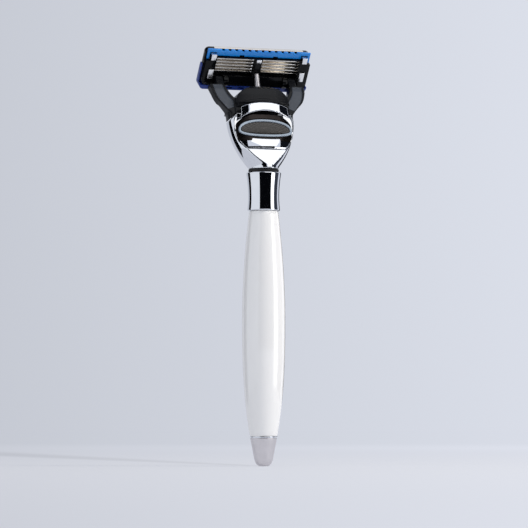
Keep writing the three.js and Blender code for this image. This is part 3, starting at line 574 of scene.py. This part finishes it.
def makeNeck():
    n = neck
    far, hoodIn = n["halfWidth"] + 1, -(n["backDepth"] - n["hoodThickness"])
    below, above, wide = -10, hoodTop + 2, 20
    shell = neckBlank()
    # the back's flat facet, from the foot to the crease
    facet = [(-far, below), (-n["footBack"] + below * n["facetSlope"], below), (creaseY, n["crease"]),
             (-far, n["crease"])]
    cut(shell, plateOf(facet, "X", -far, far))
    # what stands above the hood and the rim
    half, hoodFoot, rimFoot = n["hoodHalfWidth"], rimHeight(n["hoodHalfWidth"]), rimHeight(far)
    over = [(-far, rimFoot), (-half, hoodFoot), *arc(0, n["height"], half, n["hoodHeight"], 180, 0, 48),
            (half, hoodFoot), (far, rimFoot), (far, above), (-far, above)]
    cut(shell, plateOf(over, "Y", -far, far))
    # in front of the hood the neck ends at its rim
    inner = n["skirtInner"]
    rim = [(-2 * far, rimFoot), (-far, rimFoot), (-inner, n["height"]), (inner, n["height"]), (far, rimFoot),
           (2 * far, rimFoot), (2 * far, above), (-2 * far, above)]
    cut(shell, plateOf(rim, "Y", hoodIn, far))
    # the thumb opening, and room above it for the button's travel; a small step keeps the faces apart
    cut(shell, plateOf(openingOutline(0, 0), "Y", -far, plateIn + n["gap"]))
    travelRoom = openingOutline(n["step"], n["travel"] + n["gap"])
    cut(shell, plateOf(travelRoom, "Y", hoodIn, plateIn + n["gap"] + n["step"]))
    for room in (n["coreRoom"], n["ejectorRoom"]):
        cut(shell, blockOf(*room, hoodTop + 1))
    foot = blockOf(-wide, wide, -wide, wide, below, 0)
    settle(foot, Matrix.Rotation(headLean, 4, "X"))
    cut(shell, foot)
    stud = pinOf(handle["rodHole"], (0, 0, -8), (0, 0, n["studTop"]))
    settle(stud, Matrix.Rotation(headLean, 4, "X"))
    cut(shell, stud)
    remeshed(shell, n["voxel"], 5)
    settle(shell, headPlace)
    finishPiece(shell, "neck_hood", "handle", ["neck_shell"], finishes["chrome"])


# ---- thumb button ----

button = {
    "lipReach": 0.4, "lipTop": 9.6, "shoulder": (0.1, 0.3), "ledgeRise": 0.4, "capTop": 19.2, "voxel": 0.15,
    "crownRadius": 28.0, "crownOut": 0.25, "crownFoot": (27.6, 2.0), "rollDepth": 0.26, "rollFoot": 5.4,
    "rollRise": 3.4, "rollFrom": 8.8, "rollHeight": 2.8, "wellDepth": 0.5,
    "screwRadius": 0.95, "screwDepth": 1.2, "screwAt": 7.6,
    # the oval's two halves are given by their height and by how square they are
    "ovalHalfWidth": 10.5, "ovalMiddle": 13.1, "ovalUp": (4.4, 2 / 2.2), "ovalDown": (2.5, 2 / 2.7),
    "ovalSides": 112,
    "ringInset": 0.15, "ringProud": 0.15, "ringWidth": 0.95, "ringDepth": 0.55, "ringEdge": 0.22,
    "discInset": 1.2, "discSunk": 0.05, "discDepth": 0.35, "discEdge": 0.12,
}


def ovalOutline(inset):
    # an oval that is taller above its widest line than below it, and squarer below
    b = button
    points = []
    for i in range(b["ovalSides"]):
        angle = math.radians(360 * i / b["ovalSides"])
        height, power = b["ovalUp"] if i < b["ovalSides"] / 2 else b["ovalDown"]
        c, s = math.cos(angle), math.sin(angle)
        points.append(((b["ovalHalfWidth"] - inset) * math.copysign(abs(c) ** power, c),
                       b["ovalMiddle"] + (height - inset) * math.copysign(abs(s) ** power, s)))
    return points


def makeCap():
    b = button
    crease, lipTop, far, above = neck["crease"], b["lipTop"], 20, 30
    # the cap is the opening's outline, pulled in by the play round it
    cap = plateOf(openingOutline(neck["gap"], 0), "Y", -far, plateIn)
    lipBack, (shoulderIn, shoulderRise) = creaseY - b["lipReach"], b["shoulder"]
    lip = [(plateIn, crease), (lipBack, crease), (lipBack, lipTop),
           (creaseY + shoulderIn, lipTop + shoulderRise), (plateOut, lipTop + b["ledgeRise"]),
           (plateOut, above), (plateIn, above)]
    combine(cap, plateOf(lip, "X", -far, far), "INTERSECT")
    # the lip is crowned from side to side, and its foot rolls in
    heights = [b["rollFoot"] + b["rollRise"] * i / 16 for i in range(17)]
    radius = b["crownRadius"]
    roll = [(radius - b["rollDepth"] * ((b["rollFrom"] - z) / b["rollHeight"]) ** 2, z) for z in heights]
    crown = turnedOf("crown", [b["crownFoot"], *roll, (radius, above)], 360, closed=False)
    settle(crown, Matrix.Translation((0, (radius + creaseY - b["crownOut"]) * mm, 0)))
    combine(cap, crown, "INTERSECT")
    cut(cap, plateOf(ovalOutline(0), "Y", -far, plateOut + b["wellDepth"]))
    cut(cap, blockOf(-far, far, -far, far, b["capTop"], above + 1))
    cut(cap, pinOf(b["screwRadius"], (0, plateIn - b["screwDepth"], b["screwAt"]),
                   (0, plateIn + 8, b["screwAt"])))
    remeshed(cap, b["voxel"], 4)
    settle(cap, headPlace)
    finishPiece(cap, "thumb_button", "button", ["button_cap"], finishes["chrome"])
    # the floor round the oval gets the near black painted shade, and the thumb lip stays plated
    cap.data.materials.append(finishes["paintedShadeRecess"])
    unplace = headPlace.inverted()
    for face in cap.data.polygons:
        spot = unplace @ face.center / mm
        if spot.y > plateOut - 0.12 and spot.z > lipTop - 0.4:
            face.material_index = 1


def makeRingAndDisc():
    b = button
    ring = flatFace(ovalOutline(b["ringInset"]), "Y", plateOut - b["ringProud"])
    editAll(ring)
    bpy.ops.mesh.inset(thickness=b["ringWidth"] * mm)
    bpy.ops.mesh.delete(type="FACE")
    bpy.ops.mesh.select_all(action="SELECT")
    pullOut((0, b["ringDepth"] * mm, 0))
    soften(ring, b["ringEdge"], 4, 50)
    shade(ring, 60)
    settle(ring, headPlace)
    finishPiece(ring, "button_rim", "button", ["button_ring"], finishes["ring"])
    discBack = plateOut + b["discSunk"]
    disc = plateOf(ovalOutline(b["discInset"]), "Y", discBack, discBack + b["discDepth"])
    soften(disc, b["discEdge"], 3, 50)
    shade(disc, 50)
    settle(disc, headPlace)
    finishPiece(disc, "button_disc", "button", ["button_inlay"], finishes["inlay"])


makeNeck()
print("neck made")
makeCap()
makeRingAndDisc()
print("button made")


# ---- yoke ----

yoke = {
    # the sunk panels, as points across and up: their outer edge in two curves, and their inner edge
    "outerFoot": ((12.8, 21.6), (13.6, 22.6), (15.0, 24.2)),
    "outerTop": ((15.2, 24.4), (17.0, 26.6), (17.25, 31.4)),
    "innerTop": (13.6, 31.4), "innerCurve": ((13.4, 30.2), (12.9, 27.6), (10.7, 24.9)),
    "innerFoot": (10.6, 22.4),
    # the panels' floor, as points in depth and up
    "panelFloor": [(-12, 17), (-2.6, 17), (-2.05, 25), (-0.85, 29.4), (1.2, 33.4), (-12, 33.4)],
    "panelSteep": -0.6, "panelFront": 1.6, "skirtFoot": 10, "seam": 20.4, "voxel": 0.19,
    "blendFoot": 18.2, "blendTop": 24, "blendInner": 10.6, "blendPasses": 60,
    "hubBack": -3.4, "hubHalfWidth": 10.2, "hubFoot": 20.6, "hubFade": 0.8, "hubCrown": 1.5,
    "ribHeight": 0.1, "ribRise": 1.2, "ribHalfPitch": 0.9, "ribMiddle": 0.6, "ribReach": 1.35,
}


def armPanel(side):
    # one arm's sunk panel, inside the arm's outline
    outer = [*quadratic(*yoke["outerFoot"], 8), *quadratic(*yoke["outerTop"], 12)]
    inner = [yoke["innerTop"], *quadratic(*yoke["innerCurve"], 12), yoke["innerFoot"]]
    outline = [(side * x, z) for x, z in [*outer, *inner]]
    return outline if side > 0 else outline[::-1]


def insideOutline(outline, x, z):
    inside = False
    for (x0, z0), (x1, z1) in zip(outline, outline[1:] + outline[:1]):
        if (z0 > z) != (z1 > z) and x < x0 + (x1 - x0) * (z - z0) / (z1 - z0):
            inside = not inside
    return inside


def onPanel(face, outline):
    # a face on the floor of a sunk panel, which looks to the back
    x, y, z = face.center / mm
    if face.normal.y > yoke["panelSteep"] or y > yoke["panelFront"]:
        return False
    return insideOutline(outline, abs(x), z)


def crownHub(body):
    # the hub's back is crowned from side to side, with two fine arc ribs above the hood's edge
    shape, middle = yoke, neck["hoodHalfWidth"]
    squash = middle / (neck["hoodHeight"] + shape["ribRise"])
    for vertex in body.data.vertices:
        x, y, z = vertex.co / mm
        if y > shape["hubBack"] or abs(x) > shape["hubHalfWidth"] or z < shape["hubFoot"]:
            continue
        away = math.hypot(x, (z - neck["height"]) * squash) - middle
        rib = 0
        if abs(away - shape["ribMiddle"]) < shape["ribReach"]:
            rib = max(0, math.cos(away * math.pi / shape["ribHalfPitch"]))
        upward, inward = (z - shape["hubFoot"]) / shape["hubFade"], (shape["hubBack"] - y) / shape["hubFade"]
        share = min(1, upward) * min(1, inward)
        rise = shape["hubCrown"] * (x / shape["hubHalfWidth"]) ** 2 - shape["ribHeight"] * rib
        vertex.co.y += rise * share * mm


def makeYoke():
    body = copyOf("yoke", "yokeBody")
    settle(body, headPlace.inverted())
    for side in (-1, 1):
        pocket = plateOf(armPanel(side), "Y", -12, 12)
        combine(pocket, plateOf(yoke["panelFloor"], "X", -20, 20), "INTERSECT")
        cut(body, pocket)
    # below the seam the skirt is trimmed flush with the neck
    around = blockOf(-19, 19, -19, 19, yoke["skirtFoot"], yoke["seam"])
    cut(around, neckBlank())
    cut(body, around)
    remeshed(body, yoke["voxel"], 3)
    # where the trimmed skirt runs out into the arms, the step is smoothed away
    blendFoot, blendTop, blendInner = (yoke[key] * mm for key in ("blendFoot", "blendTop", "blendInner"))
    blend = body.vertex_groups.new(name="skirtBlend")
    blend.add([vertex.index for vertex in body.data.vertices
               if blendFoot < vertex.co.z < blendTop and abs(vertex.co.x) > blendInner], 1, "REPLACE")
    modify(body, "SMOOTH", factor=0.5, iterations=yoke["blendPasses"], vertex_group="skirtBlend")
    crownHub(body)
    outline = armPanel(1)
    paintedLightPanel = [index for index, face in enumerate(body.data.polygons) if onPanel(face, outline)]
    settle(body, headPlace)
    finishPiece(body, "yoke_body", "yoke", ["yoke"], finishes["nylon"])
    # the sunk panels get the lighter copy of the nylon, which is painted light
    body.data.materials.append(finishes["paintedLightPanel"])
    for index in paintedLightPanel:
        body.data.polygons[index].material_index = 1


makeYoke()
print("yoke made")


# ---- cartridge ----

cartridgeParts = {
    # name: node, slot, finish, bevel width, segments
    "cartridge_body": ("cartridge_frame", "gloss_black", "gloss", 0.14, 3),
    "clip_strap_left": ("clip_left", "blade_steel", "clip", 0.12, 3),
    "clip_strap_right": ("clip_right", "blade_steel", "clip", 0.12, 3),
    "skin_guard": ("guard", "guard_blue", "navy", 0.16, 3),
    "comfort_fins": ("guard_fins", "fins", "navy", 0.08, 2),
    "glide_strip": ("lube_strip", "lube", "strip", 0.14, 3),
    "trimmer_strip": ("trimmer_guard", "trimmer_blue", "blue", 0.1, 3),
    "trimmer_edge": ("trimmer_blade", "blade_steel", "blade", 0.02, 1),
    "centre_pin": ("centre_staple", "blade_steel", "clip", 0.08, 2),
}
bladeCount = 5


def roundedCopy(node, name, body, finish, width, segments, smooth=35):
    # a CAD piece whose hard edges get a small bevel
    piece = copyOf(node, name)
    soften(piece, width, segments, 35)
    shade(piece, smooth)
    finishPiece(piece, name, body, [node], finishes[finish])


for name, (node, slot, finish, width, segments) in cartridgeParts.items():
    roundedCopy(node, name, "cartridge", finish, width, segments)
for i in range(1, bladeCount + 1):
    roundedCopy(f"blade_support_{i}", f"blade_bracket_{i}", f"blade_{i}", "blade", 0.03, 2)
    roundedCopy(f"blade_{i}", f"razor_blade_{i}", f"blade_{i}", "blade", 0.03, 2)
roundedCopy("plunger", "pusher_rod", "plunger", "nickel", 0.06, 2, 40)
print("cartridge made")


# ---- what stays as the CAD has it, inside the handle and the head ----

kept = {
    "lower_bush": "brass", "upper_bush": "brass", "plunger_plug": "brass", "tie_rod": "steel",
    "neck_stud": "steel", "button_screw": "steel", "button_spring": "steel", "core_screw_left": "steel",
    "core_screw_right": "steel", "plunger_spring": "steel", "dock_core": "nylon", "ejector": "nylon",
}
for node, finish in kept.items():
    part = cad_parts[node]
    part.data.materials.clear()
    part.data.materials.append(finishes[finish])
print("inner parts finished:", len(kept))


# ---- stage, light and camera ----

studio = {
    "background": "#D3D7E1", "horizon": "#D1D5DF", "floor": "#D3D4D6", "floorNearPaintedLight": "#DDE0EA",
    "sideDim": 0.87, "sideBright": 1.1, "sideReach": 0.09, "horizonFade": 0.08, "floorRadius": 30,
    "floorFade": (0.1, 2.0), "paintedGlowFade": (0.1, 1.2), "paintedGlowLeast": 0.55, "grainLeast": 0.98, "grainSize": 400,
    "shadeTurn": 13.6, "shadeDepth": 0.15, "shadeWidens": 0.055, "shadeStart": 0.006, "shadeCore": 0.1,
    "shadeFade": 0.03, "eye": (-0.430, -1.120, 0.013), "azimuth": -21, "tilt": 2.85, "lens": 227.3,
    "shift": 0.0011, "centre": (0, 0, 0.115), "aim": (0, 0, 0.07), "cardRadius": 0.28,
}


def mathOf(tree, operation, *values):
    inputs = dict(enumerate(values))
    return addNode(tree, "ShaderNodeMath", inputs, operation=operation).outputs[0]


def along(tree, where, degrees):
    # how far a place or a direction lies along a level line that is turned by so many degrees
    turn = math.radians(degrees)
    return addNode(tree, "ShaderNodeVectorMath", {0: where, 1: (math.cos(turn), math.sin(turn), 0)},
                   operation="DOT_PRODUCT").outputs["Value"]


def sideShade(tree, direction):
    # the backdrop and the floor are a little brighter on the lamp's side
    reach = studio["sideReach"]
    return spread(tree, along(tree, direction, studio["azimuth"]), studio["sideDim"], studio["sideBright"],
                  -reach, reach)


def floorPaintedShadow(tree, where):
    # painted shadow: the long soft shade that falls behind the object on the floor, painted into the floor's
    # glow: 1 in its middle
    turn = studio["azimuth"] + studio["shadeTurn"]
    across, away = along(tree, where, turn), along(tree, where, turn + 90)
    width = mathOf(tree, "MULTIPLY_ADD", away, studio["shadeWidens"], studio["shadeStart"])
    ratio = mathOf(tree, "DIVIDE", mathOf(tree, "ABSOLUTE", across), width)
    middle = addNode(tree, "ShaderNodeMapRange", {
        "Value": ratio, "From Min": studio["shadeCore"], "From Max": 1.0, "To Min": 1.0, "To Max": 0.0},
        interpolation_type="SMOOTHSTEP").outputs[0]
    return mathOf(tree, "MULTIPLY", middle, spread(tree, away, 0, 1, 0.0, studio["shadeFade"]))


def makeFloor():
    # a painted board that turns into a glow, painted light in the backdrop's colour, so that no edge shows
    # where it meets the backdrop; near the object the glow is lighter, a painted pool of light
    clearSelection()
    bpy.ops.mesh.primitive_circle_add(vertices=64, radius=studio["floorRadius"], fill_type="NGON")
    floor = bpy.context.object
    floor.name = "studioFloor"
    material = bpy.data.materials.new("paintedBoardFloor")
    tree = emptyTree(material)
    where = addNode(tree, "ShaderNodeTexCoord").outputs["Object"]
    reach = addNode(tree, "ShaderNodeVectorMath", {0: where}, operation="LENGTH").outputs["Value"]
    fromEye = addNode(tree, "ShaderNodeVectorMath", {0: where, 1: (*studio["eye"][:2], 0)},
                      operation="SUBTRACT").outputs[0]
    direction = addNode(tree, "ShaderNodeVectorMath", {0: fromEye}, operation="NORMALIZE").outputs[0]
    grain = noiseOf(tree, where, studio["grainSize"], 2)
    # painted shadow: the floor's glow is darkened along it
    shadow = mathOf(tree, "MULTIPLY_ADD", floorPaintedShadow(tree, where), -studio["shadeDepth"], 1.0)
    scale = mathOf(tree, "MULTIPLY", sideShade(tree, direction), shadow)
    # painted pool of light: the glow is lighter near the object and fades to the horizon's colour
    near = blendColours(tree, spread(tree, reach, 0, 1, *studio["floorFade"]), studio["floorNearPaintedLight"],
                        studio["horizon"])
    glow = addNode(tree, "ShaderNodeVectorMath", {0: near, "Scale": scale}, operation="SCALE")
    paint = addNode(tree, "ShaderNodeBsdfDiffuse", {"Color": fromHex(studio["floor"])})
    # painted light: the floor partly glows, mixed with its paint
    paintedGlow = addNode(tree, "ShaderNodeEmission", {"Color": glow.outputs[0]})
    share = mathOf(tree, "MULTIPLY", spread(tree, reach, studio["paintedGlowLeast"], 1, *studio["paintedGlowFade"]),
                   spread(tree, grain, studio["grainLeast"], 1.0))
    mix = addNode(tree, "ShaderNodeMixShader", {0: share, 1: paint.outputs[0], 2: paintedGlow.outputs[0]})
    addNode(tree, "ShaderNodeOutputMaterial", {"Surface": mix.outputs[0]})
    floor.data.materials.append(material)


def makeWorld():
    world = bpy.data.worlds.new("paleStudio")
    bpy.context.scene.world = world
    tree = emptyTree(world)
    direction = addNode(tree, "ShaderNodeTexCoord").outputs["Generated"]
    height = addNode(tree, "ShaderNodeSeparateXYZ", {0: direction}).outputs["Z"]
    upright = blendColours(tree, spread(tree, height, 0, 1, 0.0, studio["horizonFade"]), studio["horizon"],
                           studio["background"])
    sky = addNode(tree, "ShaderNodeVectorMath", {0: upright, "Scale": sideShade(tree, direction)},
                  operation="SCALE")
    back = addNode(tree, "ShaderNodeBackground", {"Color": sky.outputs[0], "Strength": 1.0})
    addNode(tree, "ShaderNodeOutputWorld", {"Surface": back.outputs[0]})


def aroundCamera(azimuth, elevation, radius):
    # a point round the head; azimuth 0 is the camera's side and positive is to its right
    turn = math.radians(azimuth + studio["azimuth"])
    rise = math.radians(elevation)
    return Vector(studio["centre"]) + radius * Vector(
        (math.sin(turn) * math.cos(rise), -math.cos(turn) * math.cos(rise), math.sin(rise)))


# curved boards that only mirrors see: a dark one is a flag, and a bright one a soft box
cards = {
    # name: azimuths of the lower edge, azimuths of the upper edge, lowest and highest elevation, colour, glow
    "flagFront": ((-28, 14), (-28, 8), -16, 62, "#06070A", 1.0),
    "flagFrontRight": ((6, 55), (6, 55), -16, 15, "#06070A", 1.0),
    "softBoxLow": ((34, 58), (14, 72), 15, 30, "#FFFFFF", 1.3),
    "softBoxHigh": ((14, 72), (5, 88), 30, 78, "#FFFFFF", 1.3),
    "softBoxStrip": ((56, 82), (56, 76), -24, 12, "#FFFFFF", 2.8),
    "flagRight": ((83, 118), (83, 118), -24, 20, "#3A3E48", 1.0),
    "flagRightHigh": ((64, 118), (77, 118), 12, 45, "#101218", 1.0),
    "flagBackRight": ((144, 178), (144, 178), -20, 20, "#15171C", 1.0),
    "fillLeft": ((-102, -28), (-102, -28), -24, 50, "#E9EDF3", 1.0),
    "flagLeft": ((-129, -102), (-129, -102), -40, 60, "#0A0B0E", 1.0),
}


def makeCard(name, foot, top, low, high, colour, glow):
    clearSelection()
    bpy.ops.mesh.primitive_grid_add(x_subdivisions=12, y_subdivisions=8, size=2)
    card = bpy.context.object
    card.name = name
    for vertex in card.data.vertices:
        u, v = (vertex.co.x + 1) / 2, (vertex.co.y + 1) / 2
        left, right = (a + (b - a) * v for a, b in zip(foot, top))
        vertex.co = aroundCamera(left + (right - left) * u, low + (high - low) * v, studio["cardRadius"])
    material = bpy.data.materials.new(name)
    tree = emptyTree(material)
    light = addNode(tree, "ShaderNodeEmission", {"Color": fromHex(colour), "Strength": glow})
    addNode(tree, "ShaderNodeOutputMaterial", {"Surface": light.outputs[0]})
    card.data.materials.append(material)
    card.visible_camera = False
    card.visible_diffuse = False
    card.visible_shadow = False
    card.visible_transmission = False


lamps = {
    # name: azimuth, elevation, distance and width in metres, watts, colour
    "keyRight": (75, 32, 1.1, 0.3, 5.4, "#FFF8EE"),
    "topFill": (20, 75, 1.2, 0.9, 2.2, "#FFFFFF"),
}


def makeLamp(name, azimuth, elevation, distance, size, power, colour):
    data = bpy.data.lights.new(name, "AREA")
    data.size = size
    data.energy = power
    data.color = fromHex(colour)[:3]
    lamp = bpy.data.objects.new(name, data)
    bpy.context.scene.collection.objects.link(lamp)
    lamp.location = aroundCamera(azimuth, elevation, distance)
    lamp.rotation_euler = (Vector(studio["aim"]) - lamp.location).to_track_quat("-Z", "Y").to_euler()
    lamp.visible_glossy = False


def makeCamera():
    data = bpy.data.cameras.new("camera")
    data.sensor_width = 36
    data.lens = studio["lens"]
    data.shift_x = studio["shift"]
    data.clip_end = 100
    camera = bpy.data.objects.new("camera", data)
    bpy.context.scene.collection.objects.link(camera)
    camera.location = studio["eye"]
    camera.rotation_euler = (math.radians(90 + studio["tilt"]), 0, math.radians(studio["azimuth"]))
    bpy.context.scene.camera = camera


bpy.context.scene.view_settings.view_transform = "Standard"
makeFloor()
makeWorld()
for name, settings in cards.items():
    makeCard(name, *settings)
for name, settings in lamps.items():
    makeLamp(name, *settings)
makeCamera()
print("studio made")
